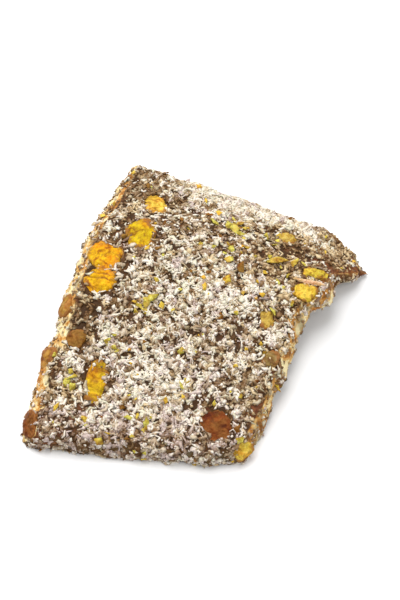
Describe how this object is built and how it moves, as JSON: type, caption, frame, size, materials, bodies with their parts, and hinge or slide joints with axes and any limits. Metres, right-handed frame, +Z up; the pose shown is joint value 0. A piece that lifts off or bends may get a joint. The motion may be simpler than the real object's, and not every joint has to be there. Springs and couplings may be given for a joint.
{
  "type": "cezerye",
  "caption": "Thin arched leaf of caramelised carrot paste coated in coconut shreds, with chopped nuts set in its faces and walls.",
  "frame": {"origin": "centre of the leaf's footprint box, on the ground", "axes": "+X to the right along the straight front edge, +Y from the front edge to the bent-down back edge, +Z up out of the coated face"},
  "size_m": [0.1104, 0.1106, 0.0157],
  "materials": {
    "paste": "chewy brown paste under a rough pale coat of coconut shreds",
    "nut_pair_upper": "cut nut, orange yellow",
    "nut_pair_lower": "cut nut, orange yellow",
    "nut_golden": "cut nut, golden yellow",
    "nut_bend": "cut nut, pale yellow",
    "nut_long": "cut nut, golden yellow",
    "nut_small_left": "cut nut, orange brown",
    "nut_round": "cut nut, red brown",
    "nut_middle_right": "cut nut, pale yellow",
    "nut_low_right": "cut nut, orange brown",
    "nut_far_right": "cut nut, pale yellow",
    "nut_torn_front": "cut nut, pale yellow",
    "nut_torn_back": "cut nut, pale yellow",
    "nut_front_left": "cut nut, red brown",
    "nut_front_right": "cut nut, pale yellow",
    "nut_left_low": "cut nut, orange brown",
    "nut_left_wall": "cut nut, orange brown",
    "nut_under_left": "cut nut, golden yellow",
    "nut_under_back": "cut nut, orange yellow",
    "nut_under_right": "cut nut, red brown",
    "nut_under_far": "cut nut, pale yellow"
  },
  "bodies": {
    "root": {"cezerye_leaf": "paste", "nut_pair_upper": "nut_pair_upper", "nut_pair_lower": "nut_pair_lower", "nut_golden": "nut_golden", "nut_bend": "nut_bend", "nut_long": "nut_long", "nut_small_left": "nut_small_left", "nut_round": "nut_round", "nut_middle_right": "nut_middle_right", "nut_low_right": "nut_low_right", "nut_far_right": "nut_far_right", "nut_torn_front": "nut_torn_front", "nut_torn_back": "nut_torn_back", "nut_front_left": "nut_front_left", "nut_front_right": "nut_front_right", "nut_left_low": "nut_left_low", "nut_left_wall": "nut_left_wall", "nut_under_left": "nut_under_left", "nut_under_back": "nut_under_back", "nut_under_right": "nut_under_right", "nut_under_far": "nut_under_far"}
  },
  "joints": []
}
